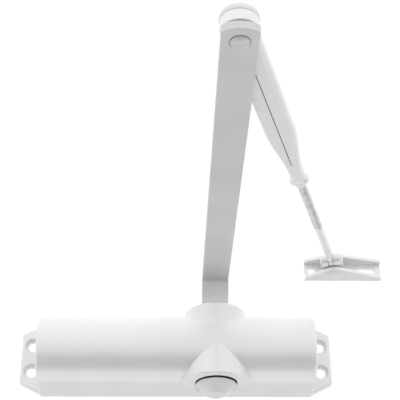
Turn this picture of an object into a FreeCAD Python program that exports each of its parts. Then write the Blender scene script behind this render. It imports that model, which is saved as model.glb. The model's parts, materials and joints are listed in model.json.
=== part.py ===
import FreeCAD, Part
import math
import os

from FreeCAD import Vector

# Overhead door closer with a folding arm, drawn in millimetres.
# Origin: middle of the four screw holes, on the back plane that lies on the door.
# +X along the body, +Y into the door, +Z up. The arms are folded, as with the door shut.

os.makedirs("parts", exist_ok=True)

# ---- driving dimensions: body casting
BODY_HALF = 94.6            # half length of the round housing
NOSE_R = 24.6               # radius of the rounded front
NOSE_Y = -16.0              # centre of that radius
BACK_HALF = 26.1            # half height at the door plane
END_ROUND = 1.6             # rounding of the housing's end edges
EAR_THICK = 5.0
EAR_REACH = 108.5           # half length over the ears
EAR_TIP_HALF = 18.0
EAR_ROOT_HALF = 25.2
EAR_CORNER = 2.2
EAR_RIM = 0.9
HOLE_X = 101.0              # half of the hole spacing along the body
HOLE_Z = 9.5                # half of the hole spacing across it
HOLE_R = 3.7
SINK_R = 5.5
SINK_DEPTH = 2.4

# ---- driving dimensions: pinion, its two bosses and its bearings
PINION_X = 26.9
PINION_Y = -17.8
UPPER_ROOT_R = 17.9
UPPER_RIM_R = 21.2
UPPER_Z = 28.2              # flat top of the upper boss
UPPER_ROUND = 1.2
LOWER_ROOT_R = 22.3
LOWER_RIM_R = 24.5
LOWER_Z = -24.8             # flat bottom of the lower boss
LOWER_ROUND = 0.9
SHAFT_R = 8.0
RUN = 0.05                  # radial clearance of every running fit
SNUG = 0.02                 # radial clearance between pieces that stay put
BUSH_R = 11.0
BUSH_START = 13.8           # the bushes begin just outside the cylinder bore
UPPER_BUSH_END = 20.3
LOWER_BUSH_END = 18.6
NUT_R = 12.4
NUT_BORE = 8.4
SEAL_R = 10.4
UPPER_SEAL_END = 23.0
LOWER_SEAL_END = 20.4
LOWER_NUT_END = 22.4
CAP_BORE = 14.3
CAP_BORE_START = 20.6
PRY_SHIFT = 4.9             # prising notch in front of the cap: the cap's bore again, moved forward
PRY_START = 22.0
SQUARE = 9.0                # across the flats of the shaft's driving squares

# ---- driving dimensions: cylinder, piston and spring
BORE_R = 13.6
SEAT_R = 15.6               # plug seats at both ends of the bore
SEAT_X = 78.6
PISTON_R = BORE_R - 0.04
PISTON_X0 = 2.0
PISTON_X1 = 73.0
MODULE = 1.6
TEETH = 10
PRESSURE = math.radians(25)
BACKLASH = 0.16
ADDENDUM = 1.3
DEDENDUM = 1.65
GEAR_HALF = 6.2             # half face width of pinion gear and rack
STROKE = 22.4
WIRE_R = 2.0
SPRING_R = 10.6
SPRING_TURNS = 9
COIL_GAP = 0.2              # play between the end coils and their seats

# ---- driving dimensions: main arm
ARM_HALF = 9.2              # half width of the bar at the hub
ARM_END_HALF = 9.75         # half width at the elbow
ARM_OFFSET = -0.45          # bar's centre line at the hub, off the pinion axis
ARM_THICK = 4.5
ARM_LOW = 28.6              # underside at the hub
ARM_HIGH = 45.5             # underside past the crank
ARM_SKEW = 0.48             # degrees the folded arm stands off square
HUB_R = 11.6
ELBOW_L = 276.2             # pinion axis to elbow axis
TIP = 10.8                  # bar beyond the elbow axis
RIVET_R = 4.0

# ---- driving dimensions: forearm, rod and shoe
FORE_Z = 54.8               # height of the forearm's centre line
FORE_ANGLE = 17.69          # degrees between the forearm and +Y
SLEEVE_HALF = 8.85
SLEEVE_TALL = 3.6           # half height of the pressed sleeve, the same all along
SLEEVE_WALL = 1.2
EYE_R = 10.1
EYE_DROP = 2.95             # the eye is pressed thinner: its underside lies this far below the centre line
EYE_ROUND = 0.6
HOLLOW_L0 = 12.5            # the hollow runs between these distances from the elbow
HOLLOW_L1 = 123.0
SEAM_L0 = 16.0
TAPER_L0 = 90.0
TAPER_L1 = 135.0
NECK_HALF = 4.65
LIP_HALF = 6.0
LIP_LENGTH = 1.6
LIP_RISE = 0.35
LIP_FLARE = 1.4
SLEEVE_END = 146.3
SEAM = 0.5                  # width of the seam along the underside
SLEEVE_CORNER = 3.0         # rounding of the sleeve's long edges
TAPER_STEPS = 5
SEAM_L1 = 124.5
SEAM_SIDE = 0.4             # the seam lies a little off the centre line
THREAD_R = 2.95
ROD_R = 2.7
THREAD_L0 = 118.0
ROD_INWARD = 8.0            # the rod can be screwed in this much further
THREAD_L1 = 206.5
KNUCKLE_PIN_L = 254.6
SHOE_PIN_L = 264.3
SHOE_BACK = -32.0
SHOE_LOW = 47.8
SHOE_TOP = 61.7
SHOE_WEB = 2.5
SHOE_FLANGE = 2.1
SHOE_X0 = 90.0
SHOE_X1 = 143.6

X = Vector(1, 0, 0)
Y = Vector(0, 1, 0)
Z = Vector(0, 0, 1)
PINION = Vector(PINION_X, PINION_Y, 0)
PITCH_R = MODULE * TEETH / 2


# ---- helpers
def cylinder(radius, start, length, axis=Z):
    return Part.makeCylinder(radius, length, start, axis)


def ring(outer, inner, start, length, axis=Z):
    return cylinder(outer, start, length, axis).cut(cylinder(inner, start, length, axis))


def box(low, high):
    size = high - low
    return Part.makeBox(size.x, size.y, size.z, low)


def on_pinion(z):
    return Vector(PINION_X, PINION_Y, z)


def prism(points, direction):
    wire = Part.makePolygon(points + [points[0]])
    return Part.Face(wire).extrude(direction)


def turned(profile, centre, axis=Z, start=X):
    """Solid of revolution from (radius, height) pairs."""
    points = [centre + start * r + axis * h for r, h in profile]
    wire = Part.makePolygon(points + [points[0]])
    return Part.Face(wire).revolve(centre, axis, 360)


def fuse_all(shapes):
    return shapes[0].fuse(shapes[1:]).removeSplitter()


def edges_where(shape, test):
    return [edge for edge in shape.Edges if test(edge)]


def circles_at(shape, z, radius):
    def test(edge):
        is_circle = isinstance(edge.Curve, Part.Circle)
        return is_circle and abs(edge.Curve.Center.z - z) < 1e-4 and abs(edge.Curve.Radius - radius) < 1e-3
    return edges_where(shape, test)


def spun(shape, degrees, centre):
    moved = shape.copy()
    moved.rotate(centre, Z, degrees)
    return moved


def placed(shape):
    """Forearm coordinates (along +X from the elbow, centre line at z = 0) to their place."""
    moved = shape.copy()
    moved.rotate(Vector(0, 0, 0), Z, 90 - FORE_ANGLE)
    moved.translate(Vector(ELBOW.x, ELBOW.y, FORE_Z))
    return moved


def solid_of(shape):
    solids = shape.Solids
    return solids[0] if len(solids) == 1 else Part.makeCompound(solids)


SKEW = math.radians(ARM_SKEW)
ELBOW = PINION + Vector(math.sin(SKEW), -math.cos(SKEW), 0) * ELBOW_L


# ---- body casting
def nose_tangent():
    """Point where the straight flank from the door plane meets the rounded front."""
    reach = math.hypot(NOSE_Y, BACK_HALF)
    towards = math.atan2(BACK_HALF, -NOSE_Y)
    angle = towards + math.acos(NOSE_R / reach)
    return NOSE_Y + NOSE_R * math.cos(angle), NOSE_R * math.sin(angle)


def housing():
    ty, tz = nose_tangent()
    x = -BODY_HALF
    top = Vector(x, 0, BACK_HALF)
    upper = Vector(x, ty, tz)
    front = Vector(x, NOSE_Y - NOSE_R, 0)
    lower = Vector(x, ty, -tz)
    bottom = Vector(x, 0, -BACK_HALF)
    edges = [
        Part.makeLine(top, upper),
        Part.Arc(upper, front, lower).toShape(),
        Part.makeLine(lower, bottom),
        Part.makeLine(bottom, top),
    ]
    bar = Part.Face(Part.Wire(edges)).extrude(X * (2 * BODY_HALF))
    at_end = edges_where(bar, lambda e: abs(abs(e.CenterOfMass.x) - BODY_HALF) < 1e-4
                         and e.BoundBox.YMin < -0.01)
    return bar.makeFillet(END_ROUND, at_end)


def ear_plate():
    outline = [
        Vector(-EAR_REACH, 0, -EAR_TIP_HALF), Vector(-BODY_HALF, 0, -EAR_ROOT_HALF),
        Vector(BODY_HALF, 0, -EAR_ROOT_HALF), Vector(EAR_REACH, 0, -EAR_TIP_HALF),
        Vector(EAR_REACH, 0, EAR_TIP_HALF), Vector(BODY_HALF, 0, EAR_ROOT_HALF),
        Vector(-BODY_HALF, 0, EAR_ROOT_HALF), Vector(-EAR_REACH, 0, EAR_TIP_HALF),
    ]
    plate = prism(outline, Y * -EAR_THICK)
    corners = edges_where(plate, lambda e: e.BoundBox.YLength > 1 and abs(e.CenterOfMass.x) > BODY_HALF + 1)
    plate = plate.makeFillet(EAR_CORNER, corners)
    rim = edges_where(plate, lambda e: e.BoundBox.YMax < -EAR_THICK + 0.01
                      and abs(e.CenterOfMass.x) > BODY_HALF + 1)
    return plate.makeFillet(EAR_RIM, rim)


def boss(root_r, rim_r, height, rounding):
    side = 1 if height > 0 else -1
    cone = Part.makeCone(root_r, rim_r, abs(height), on_pinion(0), Z * side)
    return cone.makeFillet(rounding, circles_at(cone, height, rim_r))


def screw_hole(x, z):
    start = Vector(x, 1, z)
    through = cylinder(HOLE_R, start, EAR_THICK + 2, Y * -1)
    sink = Part.makeCone(HOLE_R, SINK_R, SINK_DEPTH, Vector(x, -EAR_THICK + SINK_DEPTH, z), Y * -1)
    return through.fuse(sink)


VALVE_Y = -8.6
VALVE_Z = 18.8
VALVE_R = 2.9
VALVE_LENGTH = 19.0
DUCT_R = 1.2
DUCT_END = 42.0
DUCT_REACH = 12.0
CHAMBER_PORT_X = 76.8


def valve_hole(side):
    z = side * VALVE_Z
    seat = cylinder(VALVE_R + RUN, Vector(BODY_HALF - VALVE_LENGTH - 1, VALVE_Y, z), VALVE_LENGTH + 2, X)
    duct = cylinder(DUCT_R, Vector(DUCT_END, VALVE_Y, z), BODY_HALF - DUCT_END - VALVE_LENGTH, X)
    inward = Vector(0, PINION_Y - VALVE_Y, -z)
    inward.normalize()
    ports = (DUCT_END + DUCT_R, CHAMBER_PORT_X)
    cross = [cylinder(DUCT_R, Vector(x, VALVE_Y, z), DUCT_REACH, inward) for x in ports]
    return [seat, duct] + cross


def pinion_bores():
    upper = [
        cylinder(BUSH_R, on_pinion(0), UPPER_BUSH_END),
        cylinder(NUT_R, on_pinion(UPPER_BUSH_END), UPPER_Z),
    ]
    lower = [
        cylinder(BUSH_R, on_pinion(0), LOWER_BUSH_END, Z * -1),
        cylinder(NUT_R, on_pinion(-LOWER_BUSH_END), CAP_BORE_START - LOWER_BUSH_END, Z * -1),
        cylinder(CAP_BORE, on_pinion(-CAP_BORE_START), 20, Z * -1),
        cylinder(CAP_BORE, on_pinion(-PRY_START) - Y * PRY_SHIFT, 20, Z * -1),
    ]
    return upper + lower


def make_body_casting():
    body = fuse_all([
        housing(), ear_plate(),
        boss(UPPER_ROOT_R, UPPER_RIM_R, UPPER_Z, UPPER_ROUND),
        boss(LOWER_ROOT_R, LOWER_RIM_R, LOWER_Z, LOWER_ROUND),
    ])
    body = body.cut(box(Vector(-150, 0, -60), Vector(150, 60, 60)))
    middle = Vector(-BODY_HALF - 1, PINION_Y, 0)
    cuts = [cylinder(BORE_R, middle, 2 * BODY_HALF + 2, X)]
    for side in (-1, 1):
        cuts.append(cylinder(SEAT_R, Vector(side * SEAT_X, PINION_Y, 0), 20, X * side))
    cuts += pinion_bores()
    cuts += [screw_hole(x, z) for x in (-HOLE_X, HOLE_X) for z in (-HOLE_Z, HOLE_Z)]
    cuts += valve_hole(-1) + valve_hole(1)
    return body.cut(cuts)


# ---- end plugs and their seals
PLUG_GAP = 0.03
PLUG_FACE = BODY_HALF - 0.5
GROOVE_X = 84.0
GROOVE_HALF = 1.25
RING_R = 1.1
SPIGOT_R = 7.6
SPIGOT_LONG = 4.5
SOCKET_ACROSS = 10.0
SOCKET_DEPTH = 7.0
PLUG_CHAMFER = 0.6


def hexagon(across, centre, axis, length):
    """Hexagonal prism with its flats a given distance apart."""
    side = Z if abs(axis.z) < 0.5 else Y
    other = axis.cross(side)
    reach = across / math.sqrt(3)
    points = []
    for k in range(6):
        a = math.radians(60 * k)
        points.append(centre + side * (reach * math.cos(a)) + other * (reach * math.sin(a)))
    return prism(points, axis * length)


def make_end_plug(side, spigot):
    out = X * side
    start = Vector(side * SEAT_X, PINION_Y, 0)
    plug = cylinder(SEAT_R - PLUG_GAP, start, PLUG_FACE - SEAT_X, out)
    groove = ring(SEAT_R + 1, SEAT_R - 2 * RING_R, Vector(side * (GROOVE_X - GROOVE_HALF), PINION_Y, 0),
                  2 * GROOVE_HALF, out)
    socket = hexagon(SOCKET_ACROSS, Vector(side * PLUG_FACE, PINION_Y, 0), out * -1, SOCKET_DEPTH)
    plug = plug.cut([groove, socket])
    if spigot:
        nub = cylinder(SPIGOT_R, start, SPIGOT_LONG - 0.5, out * -1)
        plug = plug.fuse(nub).removeSplitter()
    rim = edges_where(plug, lambda e: isinstance(e.Curve, Part.Circle)
                      and abs(e.Curve.Radius - SEAT_R) < 0.1
                      and abs(abs(e.Curve.Center.x) - PLUG_FACE) < 0.01)
    return plug.makeChamfer(PLUG_CHAMFER, rim)


def make_plug_o_ring(side):
    centre = Vector(side * GROOVE_X, PINION_Y, 0)
    return Part.makeTorus(SEAT_R - RING_R - PLUG_GAP, RING_R - PLUG_GAP, centre, X)


# ---- pinion bearings, seals and gland nuts
SEAL_GAP = 0.05
SEAL_GROOVE_R = 0.6
SPANNER_AT = 10.6           # pin spanner holes of the gland nuts
SPANNER_R = 0.9
SPANNER_DEPTH = 2.1


def make_bush(side, end):
    start = on_pinion(side * BUSH_START)
    return ring(BUSH_R - SNUG, SHAFT_R + RUN, start, end - BUSH_START - SEAL_GAP, Z * side)


def make_shaft_seal(side, start, end):
    """Lip seal: a square ring with a garter groove around its outside."""
    low = on_pinion(side * (start + SEAL_GAP))
    seal = ring(SEAL_R - PLUG_GAP, SHAFT_R + RUN, low, end - start - 2 * SEAL_GAP, Z * side)
    groove = Part.makeTorus(SEAL_R + 0.25, SEAL_GROOVE_R, on_pinion(side * (start + end) / 2), Z)
    return seal.cut(groove)


def make_gland_nut(side, start, seal_end, end):
    nut = ring(NUT_R - PLUG_GAP, NUT_BORE, on_pinion(side * start), end - start, Z * side)
    seat = cylinder(SEAL_R, on_pinion(side * start), seal_end - start, Z * side)
    spanner = []
    for k in (0, 1):
        a = math.radians(45 + 180 * k)
        at = on_pinion(side * end) + Vector(math.cos(a), math.sin(a), 0) * SPANNER_AT
        spanner.append(cylinder(SPANNER_R, at, SPANNER_DEPTH, Z * -side))
    return nut.cut([seat] + spanner)


# ---- lower cap over the shaft end
CAP_R = 13.3
CAP_WALL = 1.5
CAP_FACE = -31.6
CAP_RIM_R = 14.1
CAP_RIM_LOW = -24.8
CAP_RIM_TOP = -24.2
CAP_TOP = -20.9
CAP_SEAL_R = 14.25


def make_lower_pinion_cap():
    outer = [
        (0, CAP_FACE), (6.4, CAP_FACE), (7.0, CAP_FACE + 0.5), (7.3, CAP_FACE + 1.0),
        (13.4, -25.2), (CAP_RIM_R, CAP_RIM_LOW), (CAP_RIM_R, CAP_RIM_TOP), (CAP_R, CAP_RIM_TOP),
        (CAP_R, CAP_TOP), (0, CAP_TOP),
    ]
    inner = [
        (0, CAP_FACE + CAP_WALL), (6.2, CAP_FACE + CAP_WALL), (11.4, -25.2),
        (NUT_R, -24.0), (NUT_R, CAP_TOP + 1), (0, CAP_TOP + 1),
    ]
    return turned(outer, on_pinion(0)).cut(turned(inner, on_pinion(0)))


def make_lower_cap_seal():
    """Rubber ring that holds the cap in its bore."""
    tall = CAP_TOP - CAP_RIM_TOP - 2 * SEAL_GAP
    return ring(CAP_SEAL_R, CAP_R + SNUG, on_pinion(CAP_RIM_TOP + SEAL_GAP), tall)


# ---- pinion shaft with its gear
def involute(angle):
    return math.tan(angle) - angle


def gear_section(z):
    """Gear outline: straight root, involute flanks worked out from the base circle."""
    base = PITCH_R * math.cos(PRESSURE)
    tip = PITCH_R + ADDENDUM
    root = PITCH_R - DEDENDUM
    thickness = math.pi * MODULE / 2 - BACKLASH
    at_pitch = thickness / 2 / PITCH_R + involute(PRESSURE)
    radii = [base + (tip - base) * k / 5 for k in range(6)]
    flank = [(root, at_pitch)]
    flank += [(r, at_pitch - involute(math.acos(min(1.0, base / r)))) for r in radii]
    points = []
    for tooth in range(TEETH):
        middle = math.pi / 2 + 2 * math.pi * tooth / TEETH
        for r, half in flank:
            points.append((r, middle - half))
        for r, half in reversed(flank):
            points.append((r, middle + half))
    return [on_pinion(z) + Vector(r * math.cos(a), r * math.sin(a), 0) for r, a in points]


def square_bar(z0, z1):
    half = SQUARE / 2
    low = on_pinion(z0) - Vector(half, half, 0)
    high = on_pinion(z1) + Vector(half, half, 0)
    return box(low, high)


SCREW_R = 3.0
SCREW_DEPTH = 16.0
SHAFT_FOOT = 23.0           # round part of the shaft ends here, below
SHAFT_TIP = 28.0            # and its lower square here


def make_pinion_shaft():
    gear = prism(gear_section(-GEAR_HALF), Z * (2 * GEAR_HALF))
    core = cylinder(PITCH_R - DEDENDUM, on_pinion(-GEAR_HALF), 2 * GEAR_HALF)
    upper = cylinder(SHAFT_R, on_pinion(GEAR_HALF), ARM_LOW - 0.4 - GEAR_HALF)
    lower = cylinder(SHAFT_R, on_pinion(-GEAR_HALF), SHAFT_FOOT - GEAR_HALF, Z * -1)
    top = square_bar(ARM_LOW - 1, ARM_LOW + ARM_THICK - 0.3)
    bottom = square_bar(-SHAFT_TIP, 1 - SHAFT_FOOT)
    shaft = fuse_all([gear, core, upper, lower, top, bottom])
    hole = cylinder(SCREW_R, on_pinion(ARM_LOW + ARM_THICK - SCREW_DEPTH), SCREW_DEPTH + 2)
    return shaft.cut(hole)


# ---- piston with its rack, and the check valve in its head
SLOT_X0 = PINION_X - 10.4
SLOT_X1 = PINION_X + STROKE + 10.4
SLOT_FRONT = PINION_Y - 10.0
SLOT_BACK = PINION_Y + 8.7
VALVE_BALL_R = 2.0
CHECK_BORE = 2.7
CHECK_Z = 7.0
CHECK_SEAT = 4.5            # ball seat, beyond the slot's end
PASSAGE_R = 1.1
RETAINER_AT = 10.0
RETAINER_BORE = 1.2
RETAINER_LONG = 2.5
FLAT_Z = 10.18              # flats above and below the slot, to clear the bushes
FLAT_PAST = 4.0
RECESS_R = 8.2
RECESS_DEPTH = 6.0
PISTON_CHAMFER = 0.8


def rack_teeth():
    """Teeth on the slot's back wall, with a gap opposite the pinion's rearmost tooth."""
    pitch = math.pi * MODULE
    line = PINION_Y + PITCH_R
    tip = line - ADDENDUM
    root = line + DEDENDUM
    half = (pitch / 2 - BACKLASH) / 2
    slope = math.tan(PRESSURE)
    teeth = []
    first = math.ceil((SLOT_X0 - PINION_X) / pitch - 0.5)
    last = math.floor((SLOT_X1 - PINION_X) / pitch - 0.5)
    for k in range(first, last + 1):
        x = PINION_X + (k + 0.5) * pitch
        at_tip = half - ADDENDUM * slope
        at_root = half + DEDENDUM * slope
        if x - at_root < SLOT_X0 or x + at_root > SLOT_X1:
            continue
        points = [
            Vector(x - at_tip, tip, -GEAR_HALF), Vector(x + at_tip, tip, -GEAR_HALF),
            Vector(x + at_root, root + 0.2, -GEAR_HALF), Vector(x - at_root, root + 0.2, -GEAR_HALF),
        ]
        teeth.append(prism(points, Z * (2 * GEAR_HALF)))
    return teeth


def make_piston():
    start = Vector(PISTON_X0, PINION_Y, 0)
    piston = cylinder(PISTON_R, start, PISTON_X1 - PISTON_X0, X)
    slot = box(Vector(SLOT_X0, SLOT_FRONT, -20), Vector(SLOT_X1, SLOT_BACK, 20))
    pocket = box(Vector(SLOT_X0, SLOT_BACK - 1, -GEAR_HALF - 0.4),
                 Vector(SLOT_X1, PINION_Y + PITCH_R + DEDENDUM, GEAR_HALF + 0.4))
    flat_x0 = SLOT_X0 - FLAT_PAST
    flat_x1 = SLOT_X1 + FLAT_PAST
    flats = [
        box(Vector(flat_x0, PINION_Y - 20, z), Vector(flat_x1, PINION_Y + 20, z + 10))
        for z in (FLAT_Z, -FLAT_Z - 10)
    ]
    recess = cylinder(RECESS_R, start, RECESS_DEPTH, X)
    passage = cylinder(PASSAGE_R, Vector(SLOT_X1 - 1, PINION_Y, CHECK_Z), 30, X)
    seat = cylinder(CHECK_BORE, Vector(SLOT_X1 + CHECK_SEAT, PINION_Y, CHECK_Z), 30, X)
    piston = piston.cut([slot, pocket, recess, passage, seat] + flats)
    piston = fuse_all([piston] + rack_teeth())
    rims = edges_where(piston, lambda e: isinstance(e.Curve, Part.Circle)
                       and abs(e.Curve.Radius - PISTON_R) < 0.01
                       and min(abs(e.Curve.Center.x - PISTON_X0), abs(e.Curve.Center.x - PISTON_X1)) < 0.01)
    return piston.makeChamfer(PISTON_CHAMFER, rims)


def make_check_ball():
    x = SLOT_X1 + CHECK_SEAT + VALVE_BALL_R + 0.1
    return Part.makeSphere(VALVE_BALL_R, Vector(x, PINION_Y, CHECK_Z))


def make_check_retainer():
    start = Vector(SLOT_X1 + RETAINER_AT, PINION_Y, CHECK_Z)
    return ring(CHECK_BORE - 0.01, RETAINER_BORE, start, RETAINER_LONG, X)


def make_closing_spring():
    """Helix between the left plug and the piston."""
    x0 = -SEAT_X + WIRE_R + COIL_GAP
    length = PISTON_X0 - WIRE_R - COIL_GAP - x0
    helix = Part.makeHelix(length / SPRING_TURNS, length, SPRING_R)
    section = Part.Wire([Part.makeCircle(WIRE_R, Vector(SPRING_R, 0, 0), Y)])
    spring = Part.Wire(helix).makePipeShell([section], True, True)
    spring = spring if spring.ShapeType == "Solid" else Part.Solid(spring)
    spring.rotate(Vector(0, 0, 0), Y, 90)
    spring.translate(Vector(x0, PINION_Y, 0))
    return spring


# ---- speed valves in the right end face
VALVE_NECK = 1.8
NEEDLE_R = 1.7
NEEDLE_TIP_R = 0.5
NEEDLE_LONG = 4.0
VALVE_SLOT = 1.0            # screwdriver slot
VALVE_SLOT_DEPTH = 1.6
VALVE_INSET = 0.6           # valve head below the end face
VALVE_NECK_X = BODY_HALF - 6.0


def make_valve_screw(side):
    z = side * VALVE_Z
    tail = BODY_HALF - VALVE_LENGTH
    screw = cylinder(VALVE_R, Vector(tail, VALVE_Y, z), VALVE_LENGTH - VALVE_INSET, X)
    tip = Vector(tail - NEEDLE_LONG / 2, VALVE_Y, z)
    needle = Part.makeCone(NEEDLE_TIP_R, NEEDLE_R, NEEDLE_LONG, tip, X)
    cut_tail = ring(VALVE_R + 1, NEEDLE_R, Vector(tail - 1, VALVE_Y, z), 4.4, X)
    groove = ring(VALVE_R + 1, VALVE_NECK, Vector(VALVE_NECK_X - 0.75, VALVE_Y, z), 1.5, X)
    half = VALVE_SLOT / 2
    slot_x = BODY_HALF - VALVE_INSET - VALVE_SLOT_DEPTH
    slot = box(Vector(slot_x, VALVE_Y - half, z - 4), Vector(BODY_HALF, VALVE_Y + half, z + 4))
    return screw.cut([cut_tail, groove, slot]).fuse(needle).removeSplitter()


def make_valve_o_ring(side):
    minor = (VALVE_R - VALVE_NECK) / 2
    return Part.makeTorus(VALVE_NECK + minor, minor, Vector(VALVE_NECK_X, VALVE_Y, side * VALVE_Z), X)


# ---- main arm
CRANK_FOOT = 13.7           # pinion axis to the foot of the crank, along the bar
CRANK_RUN = 6.5             # run of the crank's slope
CRANK_FOOT_R = 5.0
CRANK_HEAD_R = 5.5
CRANK_INSIDE_R = 1.6
ARM_EDGE = 0.6


def make_main_arm():
    """Bar bent up in a crank, with a round hub; built along -Y, then turned by its small skew."""
    rise = ARM_HIGH - ARM_LOW
    slant = ARM_THICK * math.hypot(1, CRANK_RUN / rise)
    foot = PINION_Y - CRANK_FOOT
    end = PINION_Y - ELBOW_L - TIP

    def lean(z):
        return foot - CRANK_RUN / rise * (z - ARM_LOW)

    top_low = ARM_LOW + ARM_THICK
    top_high = ARM_HIGH + ARM_THICK
    outline = [
        (PINION_Y, ARM_LOW), (foot, ARM_LOW), (lean(ARM_HIGH), ARM_HIGH), (end, ARM_HIGH),
        (end, top_high), (lean(top_high) + slant, top_high), (lean(top_low) + slant, top_low),
        (PINION_Y, top_low),
    ]
    wide = 2 * ARM_END_HALF
    points = [Vector(PINION_X - wide, y, z) for y, z in outline]
    bar = prism(points, X * (2 * wide))

    def bend(y, z, radius, shape):
        found = edges_where(shape, lambda e: e.BoundBox.XLength > wide
                            and abs(e.CenterOfMass.y - y) < 0.02 and abs(e.CenterOfMass.z - z) < 0.02)
        return shape.makeFillet(radius, found)

    bar = bend(foot, ARM_LOW, CRANK_FOOT_R, bar)
    bar = bend(lean(top_high) + slant, top_high, CRANK_HEAD_R, bar)
    bar = bend(lean(ARM_HIGH), ARM_HIGH, CRANK_INSIDE_R, bar)
    bar = bend(lean(top_low) + slant, top_low, CRANK_INSIDE_R, bar)
    bar = bar.common(arm_plan(end))
    long_edges = edges_where(bar, lambda e: e.BoundBox.YLength > 0.5 and e.BoundBox.YMax < foot + 12
                             and min(abs(e.CenterOfMass.x - bar_side(s, e.CenterOfMass.y))
                                     for s in (-1, 1)) < 0.02)
    bar = bar.makeFillet(ARM_EDGE, long_edges)
    hub = cylinder(HUB_R, on_pinion(ARM_LOW), ARM_THICK)
    arm = spun(fuse_all([bar, hub]), ARM_SKEW, PINION)
    rivet_hole = cylinder(RIVET_R + SNUG, at_elbow(ARM_HIGH - 1), ARM_THICK + 2)
    sinking = cylinder(RIVET_SINK_R, at_elbow(ARM_HIGH - 1), 1 + RIVET_SINK)
    return arm.cut([square_bar(0, 2 * ARM_LOW), rivet_hole, sinking])


def bar_side(side, y):
    """X of the bar's left or right side at a distance along it: it widens towards the elbow."""
    t = (PINION_Y - y) / ELBOW_L
    return PINION_X + ARM_OFFSET * (1 - t) + side * (ARM_HALF + (ARM_END_HALF - ARM_HALF) * t)


def arm_plan(end):
    """Plan outline of the bar: tapered sides, shallow round tip with small clipped corners."""
    start = PINION_Y + 8
    shoulder = end + 3.6
    clip = 1.1
    x0 = bar_side(-1, shoulder)
    x1 = bar_side(1, shoulder)
    tip_left = Vector(x0 + clip, shoulder - clip, 0)
    tip_right = Vector(x1 - clip, shoulder - clip, 0)
    back_left = Vector(bar_side(-1, start), start, 0)
    back_right = Vector(bar_side(1, start), start, 0)
    edges = [
        Part.makeLine(back_left, Vector(x0, shoulder, 0)),
        Part.makeLine(Vector(x0, shoulder, 0), tip_left),
        Part.Arc(tip_left, Vector(PINION_X, end, 0), tip_right).toShape(),
        Part.makeLine(tip_right, Vector(x1, shoulder, 0)),
        Part.makeLine(Vector(x1, shoulder, 0), back_right),
        Part.makeLine(back_right, back_left),
    ]
    return Part.Face(Part.Wire(edges)).extrude(Z * 80)


WASHER_THICK = 1.6
HEAD_ACROSS = 13.0
HEAD_TALL = 5.3
HEAD_CROWN_R = HEAD_ACROSS / 2 + 1.6
HEAD_CROWN_TALL = 2.0
WASHER_R = 8.6


def make_arm_washer():
    return ring(WASHER_R, SCREW_R + 0.3, on_pinion(ARM_LOW + ARM_THICK), WASHER_THICK)


def make_arm_screw():
    base = ARM_LOW + ARM_THICK + WASHER_THICK
    head = hexagon(HEAD_ACROSS, on_pinion(base), Z, HEAD_TALL)
    drum_tall = HEAD_TALL - HEAD_CROWN_TALL
    tip_r = HEAD_ACROSS / 2 - 0.4
    crown = Part.makeCone(HEAD_CROWN_R, tip_r, HEAD_CROWN_TALL, on_pinion(base + drum_tall), Z)
    drum = cylinder(HEAD_CROWN_R, on_pinion(base), drum_tall)
    head = head.common(drum.fuse(crown))
    shank_z = ARM_LOW + ARM_THICK - SCREW_DEPTH + 1.5
    shank = cylinder(SCREW_R - SNUG, on_pinion(shank_z), base - shank_z + 0.5)
    return head.fuse(shank).removeSplitter()


# ---- elbow joint
RIVET_HEAD_R = 4.95
RIVET_DROP = 1.4            # dome of the head
RIVET_STEP = 0.5            # straight edge of the head below the arm
RIVET_SINK = 0.7            # the head stands in a shallow round sinking in the arm
RIVET_SINK_R = 5.5
RIVET_TOP_R = 5.4
RIVET_TOP_TALL = 1.3
ELBOW_WASHER_R = 7.4
CAP_HOLLOW_R = 6.4
CAP_HOLLOW_DEPTH = 2.6
CAP_COVER_FOOT = 0.4
EYE_LOW = FORE_Z - EYE_DROP
EYE_TOP = FORE_Z + SLEEVE_TALL
ELBOW_BUSH_R = 6.0
CAP_COVER_R = 10.35
CAP_COVER_TALL = 6.3
CAP_COVER_ROUND = 5.0


def at_elbow(z):
    return Vector(ELBOW.x, ELBOW.y, z)


def dome(radius, height, base_z, side):
    """Spherical cap standing on a plane."""
    ball_r = (radius ** 2 + height ** 2) / (2 * height)
    ball = Part.makeSphere(ball_r, at_elbow(base_z + side * (height - ball_r)))
    keep = cylinder(radius + 1, at_elbow(base_z), height + 1, Z * side)
    return ball.common(keep)


def make_elbow_rivet():
    under = dome(RIVET_HEAD_R, RIVET_DROP, ARM_HIGH - RIVET_STEP, -1)
    edge = cylinder(RIVET_HEAD_R, at_elbow(ARM_HIGH - RIVET_STEP), RIVET_STEP + RIVET_SINK)
    shank = cylinder(RIVET_R, at_elbow(ARM_HIGH), EYE_TOP + 0.4 - ARM_HIGH)
    head = cylinder(RIVET_TOP_R, at_elbow(EYE_TOP + 0.3), RIVET_TOP_TALL)
    return fuse_all([under, edge, shank, head])


def make_elbow_washer():
    tall = EYE_LOW - ARM_HIGH - ARM_THICK - 0.3
    return ring(ELBOW_WASHER_R, RIVET_R + 0.04, at_elbow(ARM_HIGH + ARM_THICK), tall)


def make_elbow_bush():
    return ring(ELBOW_BUSH_R - SNUG, RIVET_R + RUN, at_elbow(EYE_LOW), EYE_TOP - EYE_LOW)


def make_elbow_cap():
    """Domed cover pressed over the top of the joint."""
    base = EYE_TOP + 0.05
    cap = cylinder(CAP_COVER_R, at_elbow(base), CAP_COVER_TALL)
    cap = cap.makeFillet(CAP_COVER_ROUND, circles_at(cap, base + CAP_COVER_TALL, CAP_COVER_R))
    cap = cap.makeFillet(CAP_COVER_FOOT, circles_at(cap, base, CAP_COVER_R))
    return cap.cut(cylinder(CAP_HOLLOW_R, at_elbow(base), CAP_HOLLOW_DEPTH))


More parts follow.
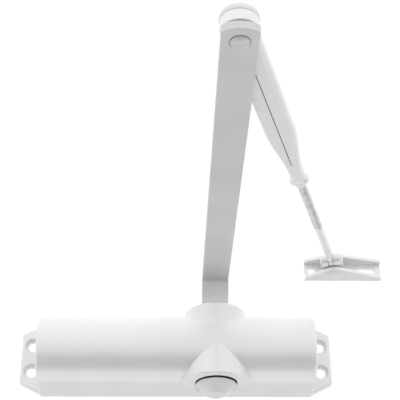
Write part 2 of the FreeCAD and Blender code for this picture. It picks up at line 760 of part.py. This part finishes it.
# ---- forearm: pressed sleeve, lock nut, threaded rod
def rounded_section(x, half_y, half_z, radius):
    """Closed wire across the sleeve: four straight sides and four round corners."""
    y = half_y - radius
    z = half_z - radius
    d = radius * math.sqrt(0.5)
    p = {
        "yp0": Vector(x, half_y, -z), "yp1": Vector(x, half_y, z),
        "zp0": Vector(x, y, half_z), "zp1": Vector(x, -y, half_z),
        "yn0": Vector(x, -half_y, z), "yn1": Vector(x, -half_y, -z),
        "zn0": Vector(x, -y, -half_z), "zn1": Vector(x, y, -half_z),
    }
    edges = [
        Part.makeLine(p["yp0"], p["yp1"]),
        Part.Arc(p["yp1"], Vector(x, y + d, z + d), p["zp0"]).toShape(),
        Part.makeLine(p["zp0"], p["zp1"]),
        Part.Arc(p["zp1"], Vector(x, -y - d, z + d), p["yn0"]).toShape(),
        Part.makeLine(p["yn0"], p["yn1"]),
        Part.Arc(p["yn1"], Vector(x, -y - d, -z - d), p["zn0"]).toShape(),
        Part.makeLine(p["zn0"], p["zn1"]),
        Part.Arc(p["zn1"], Vector(x, y + d, -z - d), p["yp0"]).toShape(),
    ]
    return Part.Wire(edges)


def sleeve_half_width(x):
    """Full width to the start of the taper, then a smooth S down to the neck."""
    t = min(1.0, max(0.0, (x - TAPER_L0) / (TAPER_L1 - TAPER_L0)))
    blend = t * t * (3 - 2 * t)
    return SLEEVE_HALF + (NECK_HALF - SLEEVE_HALF) * blend


def sleeve_body(inset, x0, x1):
    """Straight part and tapered part of the sleeve, shrunk by inset all round."""
    def section(x):
        wide = sleeve_half_width(x)
        return rounded_section(x, wide - inset, SLEEVE_TALL - inset, SLEEVE_CORNER - inset * 0.9)
    straight = Part.makeLoft([section(x0), section(TAPER_L0)], True, True)
    stations = [TAPER_L0 + (x1 - TAPER_L0) * k / TAPER_STEPS for k in range(TAPER_STEPS + 1)]
    taper = Part.makeLoft([section(x) for x in stations], True, False)
    return fuse_all([straight, taper])


def make_forearm_sleeve():
    eye = cylinder(EYE_R, Vector(0, 0, -EYE_DROP), EYE_DROP + SLEEVE_TALL)
    eye = eye.makeFillet(EYE_ROUND, circles_at(eye, -EYE_DROP, EYE_R))
    relief = cylinder(EYE_R + EYE_ROUND, Vector(0, 0, -2 * SLEEVE_TALL), 2 * SLEEVE_TALL - EYE_DROP)
    outer = sleeve_body(0, 1.0, TAPER_L1).cut(relief)
    lip_start = SLEEVE_END - LIP_LENGTH
    neck_wire = rounded_section(TAPER_L1 - 0.5, NECK_HALF, SLEEVE_TALL, SLEEVE_CORNER)
    neck = Part.Face(neck_wire).extrude(X * (SLEEVE_END - TAPER_L1 + 0.5))
    lip_wire = rounded_section(lip_start, LIP_HALF, SLEEVE_TALL + LIP_RISE, SLEEVE_CORNER + LIP_RISE)
    lip = Part.Face(lip_wire).extrude(X * LIP_LENGTH)
    flare = Part.makeLoft([
        rounded_section(lip_start - LIP_FLARE, NECK_HALF, SLEEVE_TALL, SLEEVE_CORNER),
        rounded_section(lip_start, LIP_HALF, SLEEVE_TALL + LIP_RISE, SLEEVE_CORNER + LIP_RISE),
    ], True, True)
    sleeve = fuse_all([eye, outer, neck, flare, lip])
    hollow = sleeve_body(SLEEVE_WALL, HOLLOW_L0, HOLLOW_L1)
    bore_start = THREAD_L0 - ROD_INWARD - 2
    bore = cylinder(THREAD_R + RUN, Vector(bore_start, 0, 0), SLEEVE_END - bore_start + 1, X)
    pivot = cylinder(ELBOW_BUSH_R, Vector(0, 0, -10), 20)
    seam = box(Vector(SEAM_L0, SEAM_SIDE - SEAM / 2, -8), Vector(SEAM_L1, SEAM_SIDE + SEAM / 2, 0))
    return placed(sleeve.cut([hollow, bore, pivot, seam]))


NUT_ACROSS = 6.9
NUT_CROWN_R = 3.65
NUT_LENGTH = 4.4


def make_lock_nut():
    start = Vector(SLEEVE_END + 0.6, 0, 0)
    nut = hexagon(NUT_ACROSS, start, X, NUT_LENGTH)
    crown = cylinder(NUT_CROWN_R, start, NUT_LENGTH, X)
    hole = cylinder(THREAD_R + RUN, start - X, NUT_LENGTH + 2, X)
    return placed(nut.common(crown).cut(hole))


EYE_THICK = 3.3
SPADE_LONG = 12.0           # the rod is flattened over this length before its eye
SPADE_WIDE = 4.6
THREAD_CHAMFER = 0.6
ROD_EYE_R = 4.4
KNUCKLE_PIN_R = 2.0


def make_forearm_rod():
    thread = cylinder(THREAD_R, Vector(THREAD_L0, 0, 0), THREAD_L1 - THREAD_L0, X)
    ends = edges_where(thread, lambda e: isinstance(e.Curve, Part.Circle))
    thread = thread.makeChamfer(THREAD_CHAMFER, ends)
    x0 = KNUCKLE_PIN_L - SPADE_LONG
    x1 = KNUCKLE_PIN_L - SPADE_WIDE
    smooth = cylinder(ROD_R, Vector(THREAD_L1 - 1, 0, 0), x0 - THREAD_L1 + 2.5, X)
    half = EYE_THICK / 2
    disc = cylinder(ROD_EYE_R, Vector(KNUCKLE_PIN_L, -half, 0), EYE_THICK, Y)
    root = ROD_R * 0.85
    shoulder = ROD_EYE_R * 0.93
    profile = [
        Vector(x0, -half, -root), Vector(x1, -half, -shoulder),
        Vector(KNUCKLE_PIN_L, -half, -ROD_EYE_R), Vector(KNUCKLE_PIN_L, -half, ROD_EYE_R),
        Vector(x1, -half, shoulder), Vector(x0, -half, root),
    ]
    spade = prism(profile, Y * EYE_THICK)
    rod = fuse_all([thread, smooth, spade, disc])
    hole = cylinder(KNUCKLE_PIN_R + RUN, Vector(KNUCKLE_PIN_L, -10, 0), 20, Y)
    return placed(rod.cut(hole))


# ---- knuckle between rod and shoe
KNUCKLE_HALF = 6.9
KNUCKLE_GAP = EYE_THICK / 2 + 0.3
KNUCKLE_TALL = 3.9          # half height between the shoe's flanges
CHEEK_R = 4.5
CHEEK_ROUND = 0.9
SHOE_PIN_R = 2.2


def make_knuckle():
    barrel = cylinder(KNUCKLE_HALF, Vector(SHOE_PIN_L, 0, -KNUCKLE_TALL), 2 * KNUCKLE_TALL)
    block = box(Vector(KNUCKLE_PIN_L, -KNUCKLE_HALF, -KNUCKLE_TALL),
                Vector(SHOE_PIN_L, KNUCKLE_HALF, KNUCKLE_TALL))
    cheeks = cylinder(CHEEK_R, Vector(KNUCKLE_PIN_L, -KNUCKLE_HALF, 0), 2 * KNUCKLE_HALF, Y)
    rims = edges_where(cheeks, lambda e: isinstance(e.Curve, Part.Circle))
    cheeks = cheeks.makeFillet(CHEEK_ROUND, rims)
    solid = fuse_all([barrel, block, cheeks])
    slot_end = KNUCKLE_PIN_L + ROD_EYE_R + 0.35
    slot = box(Vector(KNUCKLE_PIN_L - 9, -KNUCKLE_GAP, -9), Vector(slot_end, KNUCKLE_GAP, 9))
    across = cylinder(KNUCKLE_PIN_R, Vector(KNUCKLE_PIN_L, -10, 0), 20, Y)
    upright = cylinder(SHOE_PIN_R + RUN, Vector(SHOE_PIN_L, 0, -9), 18)
    return placed(solid.cut([slot, across, upright]))


def make_knuckle_pin():
    pin = cylinder(KNUCKLE_PIN_R, Vector(KNUCKLE_PIN_L, -KNUCKLE_HALF - 0.1, 0), 2 * KNUCKLE_HALF + 0.2, Y)
    head = turned([(0, 0), (3.6, 0), (3.6, 0.5), (2.8, 1.1), (0, 1.4)],
                  Vector(KNUCKLE_PIN_L, -KNUCKLE_HALF, 0), Y * -1)
    tail = turned([(0, 0), (2.6, 0), (2.3, 0.5), (0, 0.8)],
                  Vector(KNUCKLE_PIN_L, KNUCKLE_HALF, 0), Y)
    return placed(fuse_all([pin, head, tail]))


# ---- shoe bracket
FORE_TURN = math.radians(FORE_ANGLE)
SHOE_PIN = ELBOW + Vector(math.sin(FORE_TURN), math.cos(FORE_TURN), 0) * SHOE_PIN_L
TOP_LOBE_R = 5.2            # the flanges run round the pin in lobes of two sizes
LOW_LOBE_R = 8.0
TOP_FRONT = -38.4           # front of the top flange at the bracket's ends
LOW_FRONT = -36.4           # and of the bottom flange, which is cut further back
ROUND_HOLE_X = 94.9
ROUND_HOLE_R = 2.65
SHOE_HOLE_Z = 54.4
SLOT_MID_X = 133.2
SLOT_LONG = 13.2
SLOT_R = 2.5
FOLD = 0.8
FLANGE_CORNER = 1.0


def flange(front, lobe_r, z, thick):
    """Flange seen from above: widest at the pin, where it runs round a lobe."""
    left = Vector(SHOE_X0, front, z)
    right = Vector(SHOE_X1, front, z)
    centre = Vector(SHOE_PIN.x, SHOE_PIN.y, z)

    def touch(corner, side):
        away = centre - corner
        reach = math.hypot(away.x, away.y)
        angle = math.atan2(-away.y, -away.x) + side * math.acos(lobe_r / reach)
        return centre + Vector(math.cos(angle), math.sin(angle), 0) * lobe_r

    a = touch(left, 1)
    b = touch(right, -1)
    edges = [
        Part.makeLine(Vector(SHOE_X0, SHOE_BACK, z), left),
        Part.makeLine(left, a),
        Part.Arc(a, centre - Y * lobe_r, b).toShape(),
        Part.makeLine(b, right),
        Part.makeLine(right, Vector(SHOE_X1, SHOE_BACK, z)),
        Part.makeLine(Vector(SHOE_X1, SHOE_BACK, z), Vector(SHOE_X0, SHOE_BACK, z)),
    ]
    plate = Part.Face(Part.Wire(edges)).extrude(Z * thick)
    corners = edges_where(plate, lambda e: e.BoundBox.ZLength > 1 and e.BoundBox.YMin < front + 0.1
                          and (e.CenterOfMass.x < SHOE_X0 + 0.1 or e.CenterOfMass.x > SHOE_X1 - 0.1))
    return plate.makeFillet(FLANGE_CORNER, corners)


def make_shoe_bracket():
    web = box(Vector(SHOE_X0, SHOE_BACK - SHOE_WEB, SHOE_LOW), Vector(SHOE_X1, SHOE_BACK, SHOE_TOP))
    low = flange(LOW_FRONT, LOW_LOBE_R, SHOE_LOW, SHOE_FLANGE)
    top = flange(TOP_FRONT, TOP_LOBE_R, SHOE_TOP - SHOE_FLANGE, SHOE_FLANGE)
    solid = fuse_all([web, low, top])
    folds = edges_where(solid, lambda e: e.BoundBox.XLength > 40 and e.BoundBox.YMin > SHOE_BACK - 0.01)
    solid = solid.makeFillet(FOLD, folds)
    under = Vector(SHOE_PIN.x, SHOE_PIN.y, SHOE_LOW - 1)
    rivet = cylinder(SHOE_PIN_R + 0.01, under, SHOE_TOP - SHOE_LOW + 2)
    hole = cylinder(ROUND_HOLE_R, Vector(ROUND_HOLE_X, -50, SHOE_HOLE_Z), 30, Y)
    reach = SLOT_LONG / 2 - SLOT_R
    slot = [cylinder(SLOT_R, Vector(SLOT_MID_X + dx, -50, SHOE_HOLE_Z), 30, Y) for dx in (-reach, reach)]
    slot.append(box(Vector(SLOT_MID_X - reach, -50, SHOE_HOLE_Z - SLOT_R),
                    Vector(SLOT_MID_X + reach, -20, SHOE_HOLE_Z + SLOT_R)))
    return solid.cut([rivet, hole] + slot)


def make_shoe_pin():
    low = Vector(SHOE_PIN.x, SHOE_PIN.y, SHOE_LOW)
    pin = cylinder(SHOE_PIN_R, low - Z * 0.2, SHOE_TOP - SHOE_LOW + 0.4)
    under = turned([(0, 0), (5.0, 0), (5.0, 0.4), (4.2, 1.0), (0, 1.5)], low, Z * -1)
    top = turned([(0, 0), (4.6, 0), (4.4, 0.5), (3.2, 1.1), (0, 1.4)], low + Z * (SHOE_TOP - SHOE_LOW), Z)
    return fuse_all([pin, under, top])


# ---- every piece under its own name
PIECES = {
    "body_casting": make_body_casting(),
    "left_end_plug": make_end_plug(-1, True),
    "right_end_plug": make_end_plug(1, False),
    "left_plug_o_ring": make_plug_o_ring(-1),
    "right_plug_o_ring": make_plug_o_ring(1),
    "upper_bearing": make_bush(1, UPPER_BUSH_END),
    "lower_bearing": make_bush(-1, LOWER_BUSH_END),
    "upper_shaft_seal": make_shaft_seal(1, UPPER_BUSH_END, UPPER_SEAL_END),
    "lower_shaft_seal": make_shaft_seal(-1, LOWER_BUSH_END, LOWER_SEAL_END),
    "upper_gland_nut": make_gland_nut(1, UPPER_BUSH_END, UPPER_SEAL_END, UPPER_Z - 0.3),
    "lower_gland_nut": make_gland_nut(-1, LOWER_BUSH_END, LOWER_SEAL_END, LOWER_NUT_END),
    "lower_pinion_cap": make_lower_pinion_cap(),
    "lower_cap_seal": make_lower_cap_seal(),
    "pinion_shaft": make_pinion_shaft(),
    "piston": make_piston(),
    "check_valve_ball": make_check_ball(),
    "check_valve_retainer": make_check_retainer(),
    "closing_spring": make_closing_spring(),
    "sweep_valve": make_valve_screw(1),
    "latch_valve": make_valve_screw(-1),
    "sweep_valve_o_ring": make_valve_o_ring(1),
    "latch_valve_o_ring": make_valve_o_ring(-1),
    "main_arm": make_main_arm(),
    "arm_washer": make_arm_washer(),
    "arm_screw": make_arm_screw(),
    "elbow_rivet": make_elbow_rivet(),
    "elbow_washer": make_elbow_washer(),
    "elbow_bush": make_elbow_bush(),
    "elbow_cap": make_elbow_cap(),
    "forearm_sleeve": make_forearm_sleeve(),
    "lock_nut": make_lock_nut(),
    "forearm_rod": make_forearm_rod(),
    "knuckle": make_knuckle(),
    "knuckle_pin": make_knuckle_pin(),
    "shoe_bracket": make_shoe_bracket(),
    "shoe_pin": make_shoe_pin(),
}

for name, shape in PIECES.items():
    piece = solid_of(shape)
    piece.exportStep(os.path.join("parts", name + ".step"))
    state = "ok" if piece.isValid() and len(piece.Solids) == 1 else "CHECK"
    print(name, round(piece.Volume, 1), "mm3", len(piece.Solids), state)
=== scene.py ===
import json
import math

import bmesh
import bpy
from mathutils import Matrix, Vector

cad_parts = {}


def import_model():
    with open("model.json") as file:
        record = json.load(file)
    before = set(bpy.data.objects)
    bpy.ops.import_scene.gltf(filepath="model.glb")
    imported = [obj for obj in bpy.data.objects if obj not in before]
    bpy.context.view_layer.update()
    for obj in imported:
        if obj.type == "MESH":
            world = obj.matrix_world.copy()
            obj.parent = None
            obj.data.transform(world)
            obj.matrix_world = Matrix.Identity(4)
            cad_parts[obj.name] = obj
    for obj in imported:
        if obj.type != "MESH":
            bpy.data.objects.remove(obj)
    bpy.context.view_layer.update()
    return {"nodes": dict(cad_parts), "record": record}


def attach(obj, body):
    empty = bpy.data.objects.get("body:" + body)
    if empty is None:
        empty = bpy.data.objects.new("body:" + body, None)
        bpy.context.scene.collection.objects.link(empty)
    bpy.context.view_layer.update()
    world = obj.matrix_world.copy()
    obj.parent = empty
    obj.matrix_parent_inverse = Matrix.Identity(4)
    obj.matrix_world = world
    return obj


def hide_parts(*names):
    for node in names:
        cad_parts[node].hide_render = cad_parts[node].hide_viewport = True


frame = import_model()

# Looks for the overhead door closer: paint, plated steel, bronze, rubber and plastic on the
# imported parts, a helical thread on the forearm rod, and a pale studio with soft light.
# Metres throughout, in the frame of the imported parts.

NODES = frame["nodes"]
JOINTS = {joint["name"]: joint for joint in frame["record"]["behaviour"]["joints"]}
MM = 0.001

# ---- node materials
COAT_ROUGHNESS = 0.18
PAINT_METALLIC = 0.18           # a little metal in the white paint deepens its shading
FINE_PEEL = 0.35                # height of the dust nibs, as a share of the orange peel's
RAMP_STOPS = (0.35, 0.65)       # where a noise turns from the dark tone to the light one


class Shader:
    """A small material builder: a Principled shader plus the texture nodes that feed it."""

    def __init__(self, name, metallic, roughness, coat=0.0, specular=0.5):
        self.material = bpy.data.materials.new(name)
        self.material.use_nodes = True
        self.tree = self.material.node_tree
        self.inputs = self.tree.nodes["Principled BSDF"].inputs
        self.inputs["Metallic"].default_value = metallic
        self.inputs["Roughness"].default_value = roughness
        self.inputs["Coat Weight"].default_value = coat
        self.inputs["Coat Roughness"].default_value = COAT_ROUGHNESS
        self.inputs["Specular IOR Level"].default_value = specular
        self.place = self.tree.nodes.new("ShaderNodeTexCoord").outputs["Object"]
        self.relief = None

    def node(self, kind, **values):
        """A new node, with its inputs set by name and an underscore for each space."""
        made = self.tree.nodes.new(kind)
        for key, value in values.items():
            made.inputs[key.replace("_", " ")].default_value = value
        return made

    def link(self, source, target):
        self.tree.links.new(source, target)

    def stretched(self, scale):
        made = self.node("ShaderNodeMapping", Scale=scale)
        self.link(self.place, made.inputs["Vector"])
        return made.outputs["Vector"]

    def noise(self, scale, detail=4.0, place=None):
        made = self.node("ShaderNodeTexNoise", Scale=scale, Detail=detail)
        self.link(place or self.place, made.inputs["Vector"])
        return made.outputs["Fac"]

    def colour(self, factor, low, high):
        made = self.node("ShaderNodeValToRGB")
        for stop, position, tone in zip(made.color_ramp.elements, RAMP_STOPS, (low, high)):
            stop.position = position
            stop.color = (*tone, 1.0)
        self.link(factor, made.inputs["Fac"])
        self.link(made.outputs["Color"], self.inputs["Base Color"])

    def rough(self, factor, low, high):
        made = self.node("ShaderNodeMapRange", To_Min=low, To_Max=high)
        self.link(factor, made.inputs["Value"])
        self.link(made.outputs["Result"], self.inputs["Roughness"])

    def bump(self, height, distance, strength):
        """One more layer of bump, on top of those before it."""
        made = self.node("ShaderNodeBump", Strength=strength, Distance=distance)
        self.link(height, made.inputs["Height"])
        if self.relief:
            self.link(self.relief, made.inputs["Normal"])
        self.relief = made.outputs["Normal"]
        self.link(self.relief, self.inputs["Normal"])


def grey(value, warm=0.0):
    return (value + warm, value, value - warm * 0.4)


def paint(name, level, mottle, peel):
    """Satin white powder coat: faint blotches, orange peel and fine dust nibs."""
    s = Shader(name, metallic=PAINT_METALLIC, roughness=0.34, coat=0.25, specular=0.6)
    blotches = s.noise(scale=38.0, detail=3.0)
    s.colour(blotches, low=grey(level - mottle, warm=0.003), high=grey(level + mottle, warm=0.001))
    s.rough(s.noise(scale=210.0, detail=5.0), low=0.28, high=0.42)
    s.bump(s.noise(scale=1150.0, detail=2.0), distance=peel, strength=0.22)
    s.bump(s.noise(scale=5200.0, detail=3.0), distance=peel * FINE_PEEL, strength=0.3)
    return s.material


def plated(name, low, high, roughness, stretch, fine):
    """Turned, drawn or plated steel: grain along the part and cloudy patches."""
    s = Shader(name, metallic=1.0, roughness=roughness)
    clouds = s.noise(scale=260.0, detail=5.0)
    s.colour(clouds, low=grey(low), high=grey(high, warm=0.004))
    grain = s.noise(scale=fine, detail=3.0, place=s.stretched(stretch))
    s.rough(grain, low=roughness - 0.08, high=roughness + 0.12)
    s.bump(grain, distance=0.02 * MM, strength=0.35)
    s.bump(s.noise(scale=3100.0, detail=2.0), distance=0.01 * MM, strength=0.25)
    return s.material


def bronze(name):
    """Sintered bronze with fine pores."""
    s = Shader(name, metallic=1.0, roughness=0.4)
    pores = s.noise(scale=2600.0, detail=6.0)
    s.colour(pores, low=(0.33, 0.20, 0.09), high=(0.68, 0.46, 0.22))
    s.rough(pores, low=0.3, high=0.55)
    s.bump(pores, distance=0.03 * MM, strength=0.4)
    return s.material


def rubber(name):
    """Black seal rubber, slightly dusty."""
    s = Shader(name, metallic=0.0, roughness=0.6, specular=0.35)
    s.colour(s.noise(scale=900.0, detail=5.0), low=grey(0.012), high=grey(0.04))
    s.rough(s.noise(scale=400.0), low=0.45, high=0.75)
    s.bump(s.noise(scale=2400.0), distance=0.03 * MM, strength=0.4)
    return s.material


def moulded_plastic(name, low, high):
    """Moulded plastic with faint flow marks and a fine grain."""
    s = Shader(name, metallic=0.0, roughness=0.36)
    flow = s.noise(scale=55.0, detail=3.0, place=s.stretched((1.0, 1.0, 2.5)))
    s.colour(flow, low=grey(low, warm=0.004), high=grey(high, warm=0.002))
    s.rough(s.noise(scale=300.0), low=0.3, high=0.45)
    s.bump(s.noise(scale=3600.0, detail=3.0), distance=0.012 * MM, strength=0.3)
    return s.material


MATERIALS = {
    "body_paint": paint("body_paint", level=0.90, mottle=0.012, peel=0.05 * MM),
    # the arm wears the same white paint as the body; its lower level (0.70 against 0.90) is painted shade,
    # for the shade on the arm's underside
    "arm_paint": paint("arm_paint", level=0.70, mottle=0.02, peel=0.04 * MM),
    "forearm_paint": paint("forearm_paint", level=0.92, mottle=0.012, peel=0.04 * MM),
    "bright_steel": plated("bright_steel", 0.50, 0.66, roughness=0.24, stretch=(1, 14, 14), fine=160.0),
    "zinc_steel": plated("zinc_steel", 0.74, 0.86, roughness=0.5, stretch=(9, 1, 1), fine=240.0),
    "spring_steel": plated("spring_steel", 0.16, 0.26, roughness=0.38, stretch=(1, 6, 6), fine=420.0),
    "bronze": bronze("sintered_bronze"),
    "seal_rubber": rubber("seal_rubber"),
    "white_plastic": moulded_plastic("white_plastic", low=0.80, high=0.86),
    "black_plastic": moulded_plastic("black_plastic", low=0.010, high=0.022),
}


def dress_parts():
    """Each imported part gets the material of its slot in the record."""
    for part in frame["record"]["subparts"]:
        for place in NODES[part["node"]].material_slots:
            place.material = MATERIALS[part["material_slot"]]


# ---- forearm rod: a rolled thread, then a smooth painted rod with its flattened eye.
# Places along it are measured from the elbow's axis.
THREAD_START = 118.0 * MM
THREAD_END = 206.5 * MM
THREAD_R = 2.93 * MM
THREAD_DEPTH = 0.42 * MM
END_THINNING = 0.25 * MM        # the thread's two ends are this much thinner
PITCH = 1.25 * MM
GROOVE_HALF = 0.42              # half the width of the groove, in pitches
RINGS_A_TURN = 8
ROUND = 48
CIRCLE = [(math.cos(math.tau * a / ROUND), math.sin(math.tau * a / ROUND)) for a in range(ROUND)]
ROD_R = 2.68 * MM
SHOULDER = ((-0.2 * MM, 0.9), (0.3 * MM, 0.97), (0.9 * MM, 1.0))    # past the thread's end, share of ROD_R
STRAIGHT_STEPS = 10
EYE_AT = 254.6 * MM
EYE_R = 4.38 * MM
EYE_HALF = 1.63 * MM
EYE_RIM = 0.3 * MM
PIN_R = 2.06 * MM
SPADE_LONG = 12.0 * MM
SPADE_STEPS = 12
SPADE_TO_PIN = 0.5 * MM         # the spade ends inside the eye, this far from the pin's hole
SPADE_SQUARE = 0.55             # how far the spade's section goes from round towards square


def as_object(name, points, faces, material, smooth=True):
    """Mesh from points along, across and up from the elbow's axis, standing in world coordinates."""
    elbow = Vector(JOINTS["elbow"]["pos_m"])
    along = Vector(JOINTS["rod_adjust"]["axis"]).normalized()
    up = Vector((0.0, 0.0, 1.0))
    across = up.cross(along)
    mesh = bpy.data.meshes.new(name)
    mesh.from_pydata([elbow + along * x + across * y + up * z for x, y, z in points], [], faces)
    mesh.validate()
    edit = bmesh.new()
    edit.from_mesh(mesh)
    bmesh.ops.recalc_face_normals(edit, faces=edit.faces)
    edit.to_mesh(mesh)
    edit.free()
    mesh.materials.append(material)
    for face in mesh.polygons:
        face.use_smooth = smooth
    obj = bpy.data.objects.new(name, mesh)
    bpy.context.scene.collection.objects.link(obj)
    return obj


def tube_faces(rings):
    """Faces between rings of ROUND points each, and one face over each end."""
    faces = []
    for k in range(rings - 1):
        near = k * ROUND
        far = near + ROUND
        for a in range(ROUND):
            b = (a + 1) % ROUND
            faces.append((near + a, near + b, far + b, far + a))
    faces.append(tuple(reversed(range(ROUND))))
    faces.append(tuple(range((rings - 1) * ROUND, rings * ROUND)))
    return faces


def thread():
    """Right-hand helical thread with flat crests, faded out at both ends."""
    rings = int((THREAD_END - THREAD_START) / PITCH * RINGS_A_TURN) + 1
    points = []
    for k in range(rings):
        x = THREAD_START + (THREAD_END - THREAD_START) * k / (rings - 1)
        fade = min(1.0, (x - THREAD_START) / PITCH, (THREAD_END - x) / PITCH)
        for a, (c, v) in enumerate(CIRCLE):
            phase = (x / PITCH - a / ROUND) % 1.0
            groove = max(0.0, 1.0 - abs(phase - 0.5) / GROOVE_HALF)
            r = THREAD_R - THREAD_DEPTH * groove * fade - END_THINNING * (1 - fade)
            points.append((x, r * c, r * v))
    return as_object("forearm_thread", points, tube_faces(rings), MATERIALS["zinc_steel"])


def rod():
    """Smooth rod, then a forged spade that widens towards the eye."""
    straight = EYE_AT - SPADE_LONG
    last = EYE_AT - PIN_R - SPADE_TO_PIN
    rings = [(THREAD_END + past, ROD_R * share) for past, share in SHOULDER]
    for k in range(1, STRAIGHT_STEPS + 1):
        rings.append((THREAD_END + (straight - THREAD_END) * k / STRAIGHT_STEPS, ROD_R))
    points = [(x, r * c, r * v) for x, r in rings for c, v in CIRCLE]
    for k in range(1, SPADE_STEPS + 1):
        t = k / SPADE_STEPS
        blend = t * t * (3 - 2 * t)
        x = straight + (last - straight) * t
        short = EYE_AT - x
        eye_half = math.sqrt(EYE_R ** 2 - short ** 2) if short < EYE_R else EYE_R
        tall = ROD_R + (eye_half - ROD_R) * blend
        flat = ROD_R + (EYE_HALF - ROD_R) * blend
        power = 1.0 - SPADE_SQUARE * blend
        for c, v in CIRCLE:
            y = math.copysign(abs(c) ** power, c) * flat
            z = math.copysign(abs(v) ** power, v) * tall
            points.append((x, y, z))
    faces = tube_faces(len(rings) + SPADE_STEPS)
    return as_object("forearm_shank", points, faces, MATERIALS["forearm_paint"])


def eye():
    """Round eye of the rod: a flat ring with softened rims and the pin's hole."""
    flat_r = EYE_R - EYE_RIM
    rim = EYE_HALF - EYE_RIM
    lower = [(PIN_R, -EYE_HALF), (flat_r, -EYE_HALF), (EYE_R, -rim)]
    profile = lower + [(r, -y) for r, y in reversed(lower)]
    n = len(profile)
    points = [(EYE_AT + r * c, y, r * v) for c, v in CIRCLE for r, y in profile]
    faces = []
    for a in range(ROUND):
        near = a * n
        far = (a + 1) % ROUND * n
        for k in range(n):
            following = (k + 1) % n
            faces.append((near + k, near + following, far + following, far + k))
    return as_object("forearm_eye", points, faces, MATERIALS["forearm_paint"], smooth=False)


def build_rod():
    made = {thread(): "zinc_steel", rod(): "forearm_paint", eye(): "forearm_paint"}
    for piece, slot in made.items():
        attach(piece, "rod")
        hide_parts("forearm_rod")


# ---- studio: two soft lamps and a black cloth, on arcs round the part, a pale floor and a white world
FRONT_AT = (-28, 1.6)           # degrees below straight in front, and distance
FRONT_SIZE = (2.6, 1.2)
FRONT_POWER = 1.3
UNDER_AT = (104, 0.75)
UNDER_SIZE = (2.0, 0.7)
UNDER_POWER = 2.7
CLOTH_AT = (52, 1.1)
CLOTH_HALF = (1.2, 0.42)
CLOTH_TONE = 0.05
CLOTH_MOTTLE = 0.2
FLOOR_HALF = 4.0
FLOOR_Z = -1.3
FLOOR_TONE = 0.62
FLOOR_MOTTLE = 0.01
WHITE = (1.0, 1.0, 1.0, 1.0)
WORLD_STRENGTH = 1.05
ORIGIN = Vector((0.0, 0.0, 0.0))


def below(degrees, far):
    """A place that far from the origin: 0 degrees is straight in front, 90 straight below."""
    a = math.radians(degrees)
    return Vector((0.0, -math.cos(a) * far, -math.sin(a) * far))


def lamp(name, place, size, power):
    """Soft rectangular lamp, aimed at the origin."""
    data = bpy.data.lights.new(name, "AREA")
    data.shape = "RECTANGLE"
    data.size, data.size_y = size
    data.energy = power
    obj = bpy.data.objects.new(name, data)
    obj.location = place
    obj.rotation_euler = (ORIGIN - place).to_track_quat("-Z", "Y").to_euler()
    bpy.context.scene.collection.objects.link(obj)


def sheet(name, half_x, half_y, place, material):
    """Flat rectangle, level and centred on its place."""
    corners = [(-half_x, -half_y, 0), (half_x, -half_y, 0), (half_x, half_y, 0), (-half_x, half_y, 0)]
    mesh = bpy.data.meshes.new(name)
    mesh.from_pydata(corners, [], [(0, 1, 2, 3)])
    mesh.materials.append(material)
    obj = bpy.data.objects.new(name, mesh)
    obj.location = place
    bpy.context.scene.collection.objects.link(obj)
    return obj


def floor():
    """Wide pale floor, well below the part, with a faint mottle."""
    s = Shader("floor_paint", metallic=0.0, roughness=0.8, specular=0.2)
    s.colour(s.noise(scale=3.0), low=grey(FLOOR_TONE - FLOOR_MOTTLE), high=grey(FLOOR_TONE + FLOOR_MOTTLE))
    s.bump(s.noise(scale=60.0), distance=0.5 * MM, strength=0.1)
    sheet("floor", FLOOR_HALF, FLOOR_HALF, (0.0, 0.0, FLOOR_Z), s.material)


def cloth():
    """Matt black cloth in front of and below the part, hidden from the camera, to darken reflections."""
    s = Shader("black_cloth", metallic=0.0, roughness=0.9, specular=0.1)
    low = CLOTH_TONE * (1 - CLOTH_MOTTLE)
    high = CLOTH_TONE * (1 + CLOTH_MOTTLE)
    s.colour(s.noise(scale=40.0), low=grey(low), high=grey(high))
    place = below(*CLOTH_AT)
    obj = sheet("black_cloth", *CLOTH_HALF, place, s.material)
    obj.rotation_euler = (-place).to_track_quat("Z", "Y").to_euler()
    obj.visible_camera = False


def world():
    made = bpy.data.worlds.new("studio")
    made.use_nodes = True
    back = made.node_tree.nodes["Background"]
    back.inputs["Color"].default_value = WHITE
    back.inputs["Strength"].default_value = WORLD_STRENGTH
    bpy.context.scene.world = made


# ---- camera, solved on the photograph
CAMERA_PLACE = Vector((-2.29, -687.47, -282.86)) * MM
CAMERA_PITCH = math.radians(31.19)
CAMERA_YAW = math.radians(1.65)
CAMERA_ROLL = math.radians(-0.46)
CAMERA_NEAR = 0.01
CAMERA_FAR = 50.0
SENSOR = 36.0
LENS = 93.61


def camera():
    """Camera at CAMERA_PLACE, turned by yaw, then pitch, then roll from looking along +y."""
    data = bpy.data.cameras.new("camera")
    data.sensor_width = SENSOR
    data.lens = LENS
    data.clip_start = CAMERA_NEAR
    data.clip_end = CAMERA_FAR
    obj = bpy.data.objects.new("camera", data)
    ahead = Vector((
        math.sin(CAMERA_YAW) * math.cos(CAMERA_PITCH),
        math.cos(CAMERA_YAW) * math.cos(CAMERA_PITCH),
        math.sin(CAMERA_PITCH),
    ))
    level = Vector((math.cos(CAMERA_YAW), -math.sin(CAMERA_YAW), 0.0))
    above = level.cross(ahead)
    right = level * math.cos(CAMERA_ROLL) + above * math.sin(CAMERA_ROLL)
    up = above * math.cos(CAMERA_ROLL) - level * math.sin(CAMERA_ROLL)
    turn = Matrix((right, up, -ahead)).transposed().to_4x4()
    obj.matrix_world = Matrix.Translation(CAMERA_PLACE) @ turn
    bpy.context.scene.collection.objects.link(obj)
    bpy.context.scene.camera = obj


dress_parts()
build_rod()
floor()
lamp("front", below(*FRONT_AT), FRONT_SIZE, FRONT_POWER)
lamp("under", below(*UNDER_AT), UNDER_SIZE, UNDER_POWER)
cloth()
world()
camera()
bpy.context.scene.view_settings.view_transform = "Standard"
